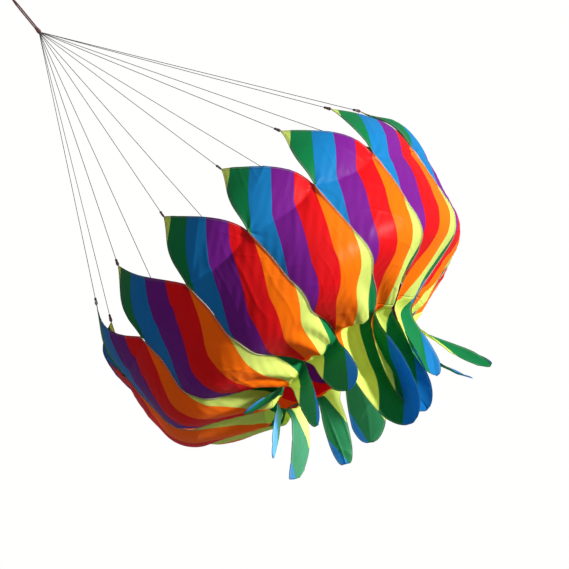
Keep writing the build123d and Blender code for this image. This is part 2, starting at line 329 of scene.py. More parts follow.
def tail_grid(k, across=28, down=56):
    """Tail k's points and its flat pattern, going on from panel k's."""
    tail = TAILS[k]
    c, t = np.linspace(0, 1, across + 1), np.linspace(0, 1, down + 1)
    middle, half = tail_line(k, t)
    round_end = np.sqrt(np.clip(1 - (np.clip(t - ROUND_FROM, 0, 1) / (1 - ROUND_FROM)) ** 2, 0.003, 1))[:, None]
    half = half * (1 - tail["rounding"] * (1 - round_end))
    heading = unit(np.gradient(middle, axis=0))
    face = np.cross(unit(half), heading)
    width = np.linalg.norm(half, axis=1)[:, None]
    c3 = c[None, :, None]
    leaf = middle[:, None] + half[:, None] * (2 * c3 - 1)
    camber = np.interp(t, [0, 0.45, 1], tail["camber"])[:, None]
    leaf = leaf + (face * width * camber)[:, None] * (8 * c3 * (1 - c3))
    crumple = 1.8 * creases(k + 3, c[None] * PANEL_WIDTH / 2, (TAIL_LENGTH + tail["ext"]) * t[:, None])
    leaf = leaf + crumple[..., None] * face[:, None]

    y = ((TAIL_LENGTH + tail["ext"]) * t)[:, None]
    taper = smooth(y, 0.0, 0.035)
    spread = np.linalg.norm(np.diff(leaf, axis=1), axis=2).sum(1)[:, None] / PANEL_WIDTH
    centre = tail["centre"] - STRIPE_SHIFTS[k][1] / (STRIPE_ACROSS * PANEL_WIDTH)
    narrowing = 1 - taper + taper * np.minimum(spread, 1)
    share = 0.5 + (centre - 0.5) * taper + (c - 0.5)[None] * narrowing
    seam_share = np.broadcast_to(c[None], share.shape)
    rear = np.full(share.shape, LENGTH)
    seam = panel_point(k, seam_share, rear)
    sewn = seam + unit(seam - panel_point(k, seam_share, rear - 0.012)) * y[..., None]
    free = smooth(y, 0.0, 0.05)[..., None]
    return sewn * (1 - free) + leaf * free, share * PANEL_WIDTH, LENGTH + y + 0 * share


# ---------------------------------------------------------------- meshes
def add_mesh(name, points, faces, uvs=None, attributes=None, flat=False):
    """An object from points and faces, with a UV for each point and other values for each point."""
    mesh = bpy.data.meshes.new(name)
    mesh.from_pydata([tuple(p) for p in points], [], faces)
    if uvs is not None:
        layer = mesh.uv_layers.new(name="cloth")
        corners = np.empty(len(mesh.loops), np.int32)
        mesh.loops.foreach_get("vertex_index", corners)
        layer.data.foreach_set("uv", np.asarray(uvs, np.float32)[corners].ravel())
    for label, values in (attributes or {}).items():
        mesh.attributes.new(label, "FLOAT", "POINT").data.foreach_set("value", np.asarray(values, np.float32))
    mesh.polygons.foreach_set("use_smooth", [not flat] * len(mesh.polygons))
    mesh.update()
    piece = bpy.data.objects.new(name, mesh)
    bpy.context.scene.collection.objects.link(piece)
    return piece


def grid_faces(rows, columns, closed=False):
    """Quads over a grid of points; closed joins the last column to the first."""
    last = columns if closed else columns - 1
    return [
        (
            r * columns + c,
            r * columns + (c + 1) % columns,
            (r + 1) * columns + (c + 1) % columns,
            (r + 1) * columns + c,
        )
        for r in range(rows - 1)
        for c in range(last)
    ]


def add_sheet(name, grid, x, y, material, edge, sunlit=0.0):
    """A cloth grid as a thin closed sheet; sunlit is how much painted sunlight glows from it, as an emission
    and a paler colour, from 0 to 1.
    """
    rows, columns = grid.shape[:2]
    piece = add_mesh(
        name,
        grid.reshape(-1, 3),
        grid_faces(rows, columns),
        np.stack([x.ravel(), y.ravel()], 1),
        {"edge": edge.ravel(), "sunlit": (sunlit + 0 * edge).ravel()},
    )
    skin = piece.modifiers.new("Cloth thickness", "SOLIDIFY")
    skin.thickness, skin.offset = CLOTH, 0
    piece.data.materials.append(material)
    return piece


def frames(path):
    """Directions for a tube: its heading and two across it, carried along the path without twist."""
    heading = unit(np.gradient(path, axis=0))
    side = np.cross(heading[0], [0.0, 0.0, 1.0])
    if np.linalg.norm(side) < 0.1:
        side = np.cross(heading[0], [0.0, 1.0, 0.0])
    sides = [unit(side)]
    for h in heading[1:]:
        sides.append(unit(sides[-1] - h * (sides[-1] @ h)))
    sides = np.array(sides)
    return heading, sides, np.cross(heading, sides)


def tube_parts(path, radius, around=8, closed=False, caps=True):
    """Points, faces and UVs of a tube along a path; radius is one number or one for each point."""
    path = np.asarray(path, float)
    count = len(path)
    _, side, over = frames(path)
    radius = np.broadcast_to(radius, (count,))
    turn = np.linspace(0, 2 * math.pi, around, endpoint=False)
    ring = side[:, None] * np.cos(turn)[None, :, None] + over[:, None] * np.sin(turn)[None, :, None]
    points = (path[:, None] + ring * radius[:, None, None]).reshape(-1, 3)
    run = np.concatenate([[0], np.cumsum(np.linalg.norm(np.diff(path, axis=0), axis=1))])
    uvs = np.stack([np.tile(turn / (2 * math.pi), count), np.repeat(run, around)], 1)
    faces = grid_faces(count, around, closed=True)
    if closed:
        last = (count - 1) * around
        faces += [(last + i, last + (i + 1) % around, (i + 1) % around, i) for i in range(around)]
    elif caps:
        faces += [tuple(reversed(range(around))), tuple(range((count - 1) * around, count * around))]
    return points, faces, uvs


def add_tubes(name, paths, radius, material, around=8, closed=False):
    """One piece from one or more tubes."""
    points, faces, uvs = [], [], []
    for path in paths:
        p, f, u = tube_parts(path, radius, around, closed)
        base = sum(len(q) for q in points)
        points.append(p)
        uvs.append(u)
        faces += [tuple(base + i for i in face) for face in f]
    piece = add_mesh(name, np.concatenate(points), faces, np.concatenate(uvs))
    piece.data.materials.append(material)
    return piece


def spline_points(route):
    """The points of the smooth line through a route, read from its NURBS spline."""
    curve = bpy.data.curves.new("Route", "CURVE")
    curve.dimensions = "3D"
    curve.resolution_u = 24
    spline = curve.splines.new("NURBS")
    spline.points.add(len(route) - 1)
    for point, place in zip(spline.points, route):
        point.co = (*place, 1)
    spline.order_u = 3
    spline.use_endpoint_u = True
    holder = bpy.data.objects.new("Route", curve)
    bpy.context.scene.collection.objects.link(holder)
    bpy.context.view_layer.update()
    mesh = bpy.data.meshes.new_from_object(holder)
    points = np.array([v.co[:] for v in mesh.vertices])
    bpy.data.objects.remove(holder)
    bpy.data.meshes.remove(mesh)
    bpy.data.curves.remove(curve)
    return points


def evened(path, step):
    """A path with its points set at an even step."""
    path = np.asarray(path, float)
    run = np.concatenate([[0], np.cumsum(np.linalg.norm(np.diff(path, axis=0), axis=1))])
    at = np.linspace(0, run[-1], max(3, int(round(run[-1] / step)) + 1))
    return np.stack([np.interp(at, run, path[:, i]) for i in range(3)], 1)


def twisted(path, offset, pitch, strands, phase=0.0):
    """The lines of strands twisted round a path."""
    _, side, over = frames(path)
    run = np.concatenate([[0], np.cumsum(np.linalg.norm(np.diff(path, axis=0), axis=1))])
    lines = []
    for i in range(strands):
        turn = (2 * math.pi * (run / pitch + i / strands) + phase)[:, None]
        lines.append(path + offset * (side * np.cos(turn) + over * np.sin(turn)))
    return lines


# ---------------------------------------------------------------- shader maths
class Wire:
    """An output socket that takes arithmetic; each operator adds its Math node."""

    def __init__(self, web, socket):
        self.web, self.socket = web, socket

    def of(self, name):
        return Wire(self.web, self.socket.node.outputs[name])

    def _math(self, operation, first, second):
        return self.web.node("ShaderNodeMath", {"operation": operation}, {0: first, 1: second})

    def __add__(self, other):
        return self._math("ADD", self, other)

    def __sub__(self, other):
        return self._math("SUBTRACT", self, other)

    def __rsub__(self, other):
        return self._math("SUBTRACT", other, self)

    def __mul__(self, other):
        return self._math("MULTIPLY", self, other)

    def __truediv__(self, other):
        return self._math("DIVIDE", self, other)

    __radd__, __rmul__ = __add__, __mul__


class Web:
    """A material's node tree. node() takes a node's type, its settings and what its sockets get."""

    def __init__(self, name):
        self.material = bpy.data.materials.new(name)
        self.material.use_nodes = True
        self.tree = self.material.node_tree
        self.tree.nodes.clear()

    def node(self, kind, settings=None, sockets=None):
        made = self.tree.nodes.new(kind)
        for name, value in (settings or {}).items():
            if name == "stops":
                ramp = made.color_ramp
                while len(ramp.elements) < len(value):
                    ramp.elements.new(1)
                for element, (place, colour) in zip(ramp.elements, value):
                    element.position, element.color = place, colour
            elif name == "interpolation":
                made.color_ramp.interpolation = value
            else:
                setattr(made, name, value)
        for name, value in (sockets or {}).items():
            if isinstance(value, Wire):
                self.tree.links.new(value.socket, made.inputs[name])
            else:
                made.inputs[name].default_value = value
        return Wire(self, made.outputs[0]) if made.outputs else made

    def mix(self, share, first, second, how="MIX"):
        wire = self.node(
            "ShaderNodeMix",
            {"data_type": "RGBA", "blend_type": how},
            {"Factor": share, 6: first, 7: second},
        )
        return Wire(self, wire.socket.node.outputs[2])

    def object_noise(self, scale, detail=2.0):
        place = self.node("ShaderNodeTexCoord").of("Object")
        return self.node("ShaderNodeTexNoise", {}, {"Vector": place, "Scale": scale, "Detail": detail})

    def finish(self, shader):
        self.node("ShaderNodeOutputMaterial", {}, {"Surface": shader})
        return self.material


def paint(red, green, blue):
    """A colour from its 0-255 values."""
    shares = (red / 255, green / 255, blue / 255)
    linear = [c / 12.92 if c <= 0.04045 else ((c + 0.055) / 1.055) ** 2.4 for c in shares]
    return (*linear, 1)


# ---------------------------------------------------------------- materials
LIME, GREEN, BLUE = paint(226, 239, 126), paint(18, 141, 79), paint(30, 143, 207)
PURPLE, RED, ORANGE = paint(136, 36, 158), paint(236, 24, 30), paint(255, 132, 10)
STRIPES = [LIME, GREEN, BLUE, PURPLE, RED, ORANGE, LIME, GREEN, BLUE, BLUE]
FIRST_STRIPE = -1
STRIPE_START, STRIPE_ACROSS, STRIPE_ALONG = -0.3, 3.1 / PANEL_WIDTH, 0.423 / STRIPE
# How far each panel's stripes sit along from an even cut, in stripes, at its front and at its rear rim.
STRIPE_SHIFTS = [
    (0.05, 0.3),
    (0.0, 0.5),
    (-0.15, 0.3),
    (-0.15, 0.05),
    (-0.18, -0.25),
    (0.0, -0.3),
    (0.0, -0.4),
    (0.0, -0.85),
    (0.0, 0.0),
    (0.0, 0.0),
    (0.0, 0.0),
    (0.1, 0.4),
]
THREAD_PITCH = 0.0008
RIPSTOP_PITCH = 0.006


def stripe_shift(k, run):
    """Panel k's own shift of its stripes, in metres across the cloth; its tail goes on with the rim's."""
    return np.interp(run, [0, LENGTH], STRIPE_SHIFTS[k]) / STRIPE_ACROSS


def stripe_colour(web, x, y):
    band = x * STRIPE_ACROSS + y * STRIPE_ALONG + (STRIPE_START - FIRST_STRIPE)
    stops = [(i / len(STRIPES), colour) for i, colour in enumerate(STRIPES)]
    settings = {"interpolation": "CONSTANT", "stops": stops}
    return web.node("ShaderNodeValToRGB", settings, {"Fac": band / len(STRIPES)})


def wave(web, across, pitch):
    """A ridge along each thread, from 0 to 1."""
    turned = web.node("ShaderNodeMath", {"operation": "SINE"}, {0: across * (2 * math.pi / pitch)})
    return turned * 0.5 + 0.5


def cloth_material(name, painted_lightness=1.0, light_through=0.36):
    web = Web(name)
    place = web.node("ShaderNodeUVMap", {"uv_map": "cloth"})
    split = web.node("ShaderNodeSeparateXYZ", {}, {0: place})
    x, y = split.of("X"), split.of("Y")
    colour = stripe_colour(web, x, y)
    dye = web.object_noise(9.0, 3.0)
    fleck = web.object_noise(900.0)
    # painted_lightness scales the dyed colour: over 1 it is painted light, under 1 painted shade; the dye and
    # fleck noise add random tone.
    dye_and_painted_lightness = dye * 0.10 + fleck * 0.06 + (0.92 * painted_lightness - 0.08)
    dye_and_painted_lightness_rgb = web.node("ShaderNodeCombineColor", {}, {0: dye_and_painted_lightness, 1: dye_and_painted_lightness, 2: dye_and_painted_lightness})
    dyed_with_painted_lightness = web.mix(1.0, colour, dye_and_painted_lightness_rgb, "MULTIPLY")
    # The cloth is paler within 6 mm of its free edges.
    edge = web.node("ShaderNodeAttribute", {"attribute_name": "edge"}).of("Fac")
    paler_near_edge = web.node(
        "ShaderNodeMapRange",
        {},
        {"Value": edge, "From Min": 0.0, "From Max": 0.006, "To Min": 0.16, "To Max": 0.0},
    )
    # sunlit: painted sunlight, a paler colour and an emission of the colour itself, though the cloth is no
    # lamp.
    sunlit = web.node("ShaderNodeAttribute", {"attribute_name": "sunlit"}).of("Fac")
    base = web.mix(sunlit * 0.28, web.mix(paler_near_edge, dyed_with_painted_lightness, paint(250, 246, 232)), paint(196, 246, 236))
    threads = wave(web, x, THREAD_PITCH) * wave(web, y, THREAD_PITCH)
    power = {"operation": "POWER"}
    ribs = web.node("ShaderNodeMath", power, {0: wave(web, x, RIPSTOP_PITCH), 1: 18.0}) + web.node(
        "ShaderNodeMath", {"operation": "POWER"}, {0: wave(web, y, RIPSTOP_PITCH), 1: 18.0}
    )
    creases = web.object_noise(14.0, 3.0)
    height = threads * 0.00005 + ribs * 0.00008 + creases * 0.0012
    relief_normal = web.node("ShaderNodeBump", {}, {"Strength": 0.8, "Distance": 1.0, "Height": height})
    gloss = web.node(
        "ShaderNodeBsdfPrincipled",
        {},
        {
            "Base Color": base,
            "Emission Color": web.mix(sunlit, (0, 0, 0, 1), base),
            "Emission Strength": 1.0,
            "Roughness": dye * 0.14 + 0.30,
            "Normal": relief_normal,
            "Sheen Weight": 0.03,
            "Sheen Roughness": 0.4,
            "Specular IOR Level": 0.0,
            "Coat Weight": 0.2,
            "Coat Roughness": 0.42,
        },
    )
    through = web.node("ShaderNodeBsdfTranslucent", {}, {"Color": base, "Normal": relief_normal})
    return web.finish(web.node("ShaderNodeMixShader", {}, {0: light_through, 1: gloss, 2: through}))


def thread_material(name, colour, twist=0.0012, rough=0.6):
    """Cord, webbing or thread: fibres that run round it on a slant."""
    web = Web(name)
    place = web.node("ShaderNodeUVMap", {"uv_map": "cloth"})
    split = web.node("ShaderNodeSeparateXYZ", {}, {0: place})
    slant = split.of("X") + split.of("Y") / twist
    ridge = web.node("ShaderNodeMath", {"operation": "SINE"}, {0: slant * (2 * math.pi)}) * 0.5 + 0.5
    fuzz = web.object_noise(1400.0, 3.0)
    # The grooves between the slanting fibres are painted darker, as painted shade; the fuzz noise adds random
    # fibre tone.
    tint = web.mix(ridge * 0.45 + fuzz * 0.35, tuple(c * 0.45 for c in colour[:3]) + (1,), colour)
    height = ridge * 0.00012 + fuzz * 0.0001
    normal = web.node("ShaderNodeBump", {}, {"Strength": 0.7, "Distance": 1.0, "Height": height})
    return web.finish(
        web.node(
            "ShaderNodeBsdfPrincipled",
            {},
            {
                "Base Color": tint,
                "Roughness": fuzz * 0.2 + (rough - 0.1),
                "Normal": normal,
                "Sheen Weight": 0.2,
            },
        )
    )


def metal_material(name, colour, rough, cast):
    """Plated or bright metal, with fine scratches and a slight casting texture."""
    web = Web(name)
    place = web.node("ShaderNodeTexCoord").of("Object")
    stretched = web.node("ShaderNodeMapping", {}, {"Vector": place, "Scale": (900.0, 900.0, 90.0)})
    scratch = web.node("ShaderNodeTexNoise", {}, {"Vector": stretched, "Scale": 1.0, "Detail": 3.0})
    cloud = web.object_noise(260.0, 3.0)
    tint = web.mix(cloud, tuple(c * 0.72 for c in colour[:3]) + (1,), colour)
    height = scratch * 0.00003 + cloud * cast
    normal = web.node("ShaderNodeBump", {}, {"Strength": 0.5, "Distance": 1.0, "Height": height})
    return web.finish(
        web.node(
            "ShaderNodeBsdfPrincipled",
            {},
            {
                "Base Color": tint,
                "Metallic": 1.0,
                "Roughness": scratch * 0.14 + cloud * 0.1 + (rough - 0.12),
                "Normal": normal,
            },
        )
    )


rainbow = cloth_material("Rainbow nylon")
# The loose tails' cloth is painted lighter, as painted sunlight; the folded hem's cloth is painted darker, as
# painted shade of the doubled cloth.
rainbow_tail_painted_lighter = cloth_material("Rainbow nylon, loose tail", 1.1, 0.5)
rainbow_hem_painted_darker = cloth_material("Rainbow nylon, folded hem", 0.6, 0.25)
maroon_cord = thread_material("Maroon leader cord", paint(96, 30, 30), 0.004)
maroon_tape = thread_material("Maroon webbing", paint(92, 22, 26), 0.0014)
whipping_thread = thread_material("Dark whipping thread", paint(34, 20, 24), 0.0012)
line_cord = thread_material("Bridle line", paint(16, 15, 17), 0.0016)
cream_thread = thread_material("Cream sewing thread", paint(244, 232, 196), 0.0012)
dark_thread = thread_material("Dark sewing thread", paint(46, 22, 40), 0.0012)
plated = metal_material("Nickel plated casting", paint(196, 196, 192), 0.32, 0.00004)
polished = metal_material("Polished nickel", paint(214, 212, 206), 0.24, 0.00001)
brassy = metal_material("Brass knob", paint(206, 170, 96), 0.3, 0.00001)
spring_steel = metal_material("Spring steel", paint(168, 168, 172), 0.3, 0.0)


# ---------------------------------------------------------------- camera, light and background
FRAME_WIDTH = 1.41
CAMERA_AWAY = 15.0
CAMERA_AZIMUTH, CAMERA_BELOW, CAMERA_ROLL = (math.radians(a) for a in (-2.5, -13.9, 43.2))
AIM = np.array([0, 0, -1.0])
toward = np.array(
    [
        math.sin(CAMERA_AZIMUTH) * math.cos(CAMERA_BELOW),
        -math.cos(CAMERA_AZIMUTH) * math.cos(CAMERA_BELOW),
        math.sin(CAMERA_BELOW),
    ]
)
level_up = unit(np.array([0, 0, 1.0]) - toward * toward[2])
level_right = np.cross(level_up, toward)
view_right = level_right * math.cos(CAMERA_ROLL) - level_up * math.sin(CAMERA_ROLL)
view_up = level_up * math.cos(CAMERA_ROLL) + level_right * math.sin(CAMERA_ROLL)


def turned(right, up, back):
    """A rotation whose axes are these directions."""
    return Matrix([[right[i], up[i], back[i]] for i in range(3)]).to_euler()


lens = bpy.data.cameras.new("Camera")
lens.sensor_width = 36
lens.lens = lens.sensor_width * CAMERA_AWAY / FRAME_WIDTH
lens.clip_end = 100
lens.shift_x, lens.shift_y = 0.0653, -0.0646
camera = bpy.data.objects.new("Camera", lens)
camera.location = AIM + toward * CAMERA_AWAY
camera.rotation_euler = turned(view_right, view_up, toward)
bpy.context.scene.collection.objects.link(camera)
bpy.context.scene.camera = camera


def add_sun(name, direction, strength, softness):
    lamp = bpy.data.lights.new(name, "SUN")
    lamp.energy = strength
    lamp.angle = math.radians(softness)
    holder = bpy.data.objects.new(name, lamp)
    holder.rotation_euler = Vector(direction).to_track_quat("Z", "Y").to_euler()
    bpy.context.scene.collection.objects.link(holder)


add_sun("Key light", view_right * 0.86 + view_up * 0.34 + toward * 0.36, 5.8, 6)
add_sun("Fill light", view_right * 0.3 + view_up * 0.5 + toward * 0.9, 0.32, 40)

world = bpy.data.worlds.new("Studio")
bpy.context.scene.world = world
world.use_nodes = True
sky = world.node_tree
sky.nodes.clear()
rays = sky.nodes.new("ShaderNodeLightPath")
seen = sky.nodes.new("ShaderNodeMath")
seen.operation = "MAXIMUM"
seen_too = sky.nodes.new("ShaderNodeMath")
seen_too.operation = "MAXIMUM"
sky.links.new(rays.outputs["Is Camera Ray"], seen.inputs[0])
sky.links.new(rays.outputs["Is Glossy Ray"], seen.inputs[1])
sky.links.new(seen.outputs[0], seen_too.inputs[0])
sky.links.new(rays.outputs["Is Transmission Ray"], seen_too.inputs[1])
ambient, backdrop = (sky.nodes.new("ShaderNodeBackground") for _ in range(2))
ambient.inputs["Color"].default_value = (0.94, 0.97, 1.0, 1)
ambient.inputs["Strength"].default_value = 0.22
backdrop.inputs["Color"].default_value = (1.0, 1.0, 0.995, 1)
backdrop.inputs["Strength"].default_value = 1.0
choice = sky.nodes.new("ShaderNodeMixShader")
sky.links.new(seen_too.outputs[0], choice.inputs[0])
sky.links.new(ambient.outputs[0], choice.inputs[1])
sky.links.new(backdrop.outputs[0], choice.inputs[2])
output = sky.nodes.new("ShaderNodeOutputWorld")
sky.links.new(choice.outputs[0], output.inputs["Surface"])
bpy.context.scene.view_settings.view_transform = "Standard"


# ---------------------------------------------------------------- stitches, by geometry nodes
def stitch_tree():
    """Small stitches set along a line at an even pitch."""
    tree = bpy.data.node_groups.new("Stitches along a seam", "GeometryNodeTree")
    face = tree.interface
    face.new_socket("Seam line", in_out="INPUT", socket_type="NodeSocketGeometry")
    for name, value in (("Pitch", 0.0042), ("Stitch length", 0.0028), ("Thread radius", 0.0005)):
        face.new_socket(name, in_out="INPUT", socket_type="NodeSocketFloat").default_value = value
    face.new_socket("Thread", in_out="INPUT", socket_type="NodeSocketMaterial")
    face.new_socket("Stitches", in_out="OUTPUT", socket_type="NodeSocketGeometry")
    add = tree.nodes.new
    given, result = add("NodeGroupInput"), add("NodeGroupOutput")
    curve, even = add("GeometryNodeMeshToCurve"), add("GeometryNodeResampleCurve")
    place, bead = add("GeometryNodeInstanceOnPoints"), add("GeometryNodeMeshUVSphere")
    turn, aim = add("FunctionNodeAlignEulerToVector"), add("GeometryNodeInputTangent")
    size, real = add("ShaderNodeCombineXYZ"), add("GeometryNodeRealizeInstances")
    coat = add("GeometryNodeSetMaterial")
    even.mode = "LENGTH"
    turn.axis = "Z"
    bead.inputs["Segments"].default_value = 6
    bead.inputs["Rings"].default_value = 4
    bead.inputs["Radius"].default_value = 1.0
    half = add("ShaderNodeMath")
    half.operation = "MULTIPLY"
    half.inputs[1].default_value = 0.5
    for source, target in (
        (given.outputs["Seam line"], curve.inputs["Mesh"]),
        (curve.outputs["Curve"], even.inputs["Curve"]),
        (given.outputs["Pitch"], even.inputs["Length"]),
        (even.outputs["Curve"], place.inputs["Points"]),
        (bead.outputs["Mesh"], place.inputs["Instance"]),
        (aim.outputs["Tangent"], turn.inputs["Vector"]),
        (turn.outputs["Rotation"], place.inputs["Rotation"]),
        (given.outputs["Stitch length"], half.inputs[0]),
        (given.outputs["Thread radius"], size.inputs["X"]),
        (given.outputs["Thread radius"], size.inputs["Y"]),
        (half.outputs["Value"], size.inputs["Z"]),
        (size.outputs["Vector"], place.inputs["Scale"]),
        (place.outputs["Instances"], real.inputs["Geometry"]),
        (real.outputs["Geometry"], coat.inputs["Geometry"]),
        (given.outputs["Thread"], coat.inputs["Material"]),
        (coat.outputs["Geometry"], result.inputs["Stitches"]),
    ):
        tree.links.new(source, target)
    return tree


STITCHES = stitch_tree()


def add_stitches(name, lines, material):
    """The stitches along one or more lines, as one plain piece."""
    points = np.concatenate(lines)
    edges, base = [], 0
    for line in lines:
        edges += [(base + i, base + i + 1) for i in range(len(line) - 1)]
        base += len(line)
    mesh = bpy.data.meshes.new(name)
    mesh.from_pydata([tuple(p) for p in points], edges, [])
    piece = bpy.data.objects.new(name, mesh)
    bpy.context.scene.collection.objects.link(piece)
    sewing = piece.modifiers.new("Sewing", "NODES")
    sewing.node_group = STITCHES
    for item in STITCHES.interface.items_tree:
        if item.name == "Thread" and item.in_out == "INPUT":
            sewing[item.identifier] = material
    bpy.context.view_layer.update()
    plain = bpy.data.meshes.new_from_object(piece.evaluated_get(bpy.context.evaluated_depsgraph_get()))
    piece.modifiers.clear()
    piece.data = plain
    bpy.data.meshes.remove(mesh)
    if "cloth" not in plain.uv_layers:
        layer = plain.uv_layers.new(name="cloth")
        places = np.array([plain.vertices[loop.vertex_index].co[:] for loop in plain.loops])
        layer.data.foreach_set("uv", (places[:, :2]).astype(np.float32).ravel())
    return piece


# ---------------------------------------------------------------- the bowl: panels, hems, seams
def flat_edge_line(k, shares, runs, lift):
    return panel_point(k, np.asarray(shares, float), np.asarray(runs, float), lift)


HEM_R = 0.0011

for k in range(PANELS):
    number = f"{k + 1:02d}"
    grid, x, y = panel_grid(k)
    edge_share, edge_run = front_edge(k)
    front = np.interp(x / PANEL_WIDTH, edge_share, edge_run)
    edge = np.minimum(np.minimum(y - front, x), PANEL_WIDTH - x)
    panel = add_sheet(f"panel_cloth_{number}", grid, x + stripe_shift(k, y), y, rainbow, edge)

    # rolled hem: up the free left edge, over the tip and along the front edge to the seam
    left_runs = np.linspace(SEAM_START_RUN + 0.004, 0.002, 46)
    even_share = np.interp(np.linspace(0, 1, 70), np.linspace(0, 1, len(edge_share)), edge_share)
    even_run = np.interp(even_share, edge_share, edge_run)
    shares = np.concatenate([np.zeros(46), even_share])
    runs = np.concatenate([left_runs, even_run])
    hem_line = flat_edge_line(k, shares, runs, 0.0)
    points, faces, _ = tube_parts(hem_line, HEM_R, 6)
    hem_uv = np.stack([np.repeat(shares * PANEL_WIDTH + stripe_shift(k, runs), 6), np.repeat(runs, 6)], 1)
    hem = add_mesh(f"hem_roll_{number}", points, faces, hem_uv, {"edge": np.full(len(points), 0.01)})
    hem.data.materials.append(rainbow_hem_painted_darker)

    # the seam down the right edge: a raised selvedge and two rows of stitches
    seam_runs = np.linspace(SEAM_START_RUN, LENGTH - 0.002, 80)
    selvedge = add_tubes(
        f"seam_binding_{number}",
        [flat_edge_line(k, np.full(80, 0.998), seam_runs, 0.0004)],
        0.0005,
        cream_thread,
        6,
    )
    sewn = [flat_edge_line(k, np.full(80, s), seam_runs, 0.0007) for s in (0.972, 0.987)]
    hem_sewn = flat_edge_line(k, np.clip(even_share * 0.985 + 0.012, 0, 1), even_run + 0.007, 0.0006)
    left_sewn = flat_edge_line(k, np.full(40, 0.026), np.linspace(0.02, SEAM_START_RUN, 40), 0.0006)
    stitches = add_stitches(f"seam_stitches_{number}", sewn + [hem_sewn, left_sewn], dark_thread)

    slots = {panel: "rainbow_cloth", hem: "rainbow_cloth", selvedge: "dark_thread", stitches: "dark_thread"}
    for piece, slot in slots.items():
        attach(piece, "drogue")
    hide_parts(f"panel_{number}")

# ---------------------------------------------------------------- the tails
TAIL_BLEND = 0.050
for k in range(PANELS):
    number = f"{k + 1:02d}"
    grid, x, y = tail_grid(k)
    x = x + stripe_shift(k, y)
    columns = np.linspace(0, 1, grid.shape[1])[None, :] * np.ones((grid.shape[0], 1))
    widths = np.linalg.norm(np.diff(grid, axis=1), axis=2).sum(1)[:, None]
    edge = np.minimum(columns, 1 - columns) * widths
    # Painted sunlight glowing from the tail, growing from its root.
    sunlit = TAILS[k]["sunlit"] * smooth(y, LENGTH + 0.01, LENGTH + 0.09)
    tail = add_sheet(f"tail_cloth_{number}", grid, x, y, rainbow_tail_painted_lighter, edge, sunlit)
    outline = np.concatenate([grid[:, 0], grid[-1, 1:-1], grid[::-1, -1]])
    outline_uv = [np.concatenate([v[:, 0], v[-1, 1:-1], v[::-1, -1]]) for v in (x, y)]
    points, faces, _ = tube_parts(outline, HEM_R * 0.7, 6)
    hem = add_mesh(
        f"tail_hem_{number}",
        points,
        faces,
        np.stack([np.repeat(v, 6) for v in outline_uv], 1),
        {"edge": np.full(len(points), 0.01)},
    )
    hem.data.materials.append(rainbow_hem_painted_darker)
    rim = rim_frame(k)[0]
    heading = unit(grid[-1].mean(0) - rim)
    for piece in (tail, hem):
        tuple(rim + heading * TAIL_BLEND)
        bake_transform(piece)
    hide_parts(f"tail_{number}")
    long = TAIL_LENGTH + TAILS[k]["ext"]
    cut = x[:, -1] - x[:, 0]
    float(cut.mean() * long)

# ---------------------------------------------------------------- the vent cord
ring = []
for k in range(PANELS - 1, -1, -1):
    share = np.linspace(0, 1, 24, endpoint=False)
    ring.append(panel_point(k, share, np.full(24, LENGTH - 0.003), -0.0022))
vent_cord = add_tubes("vent_draw_cord", [np.concatenate(ring)], 0.001, maroon_cord, 8, closed=True)
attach(vent_cord, "drogue")
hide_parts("vent_cord")

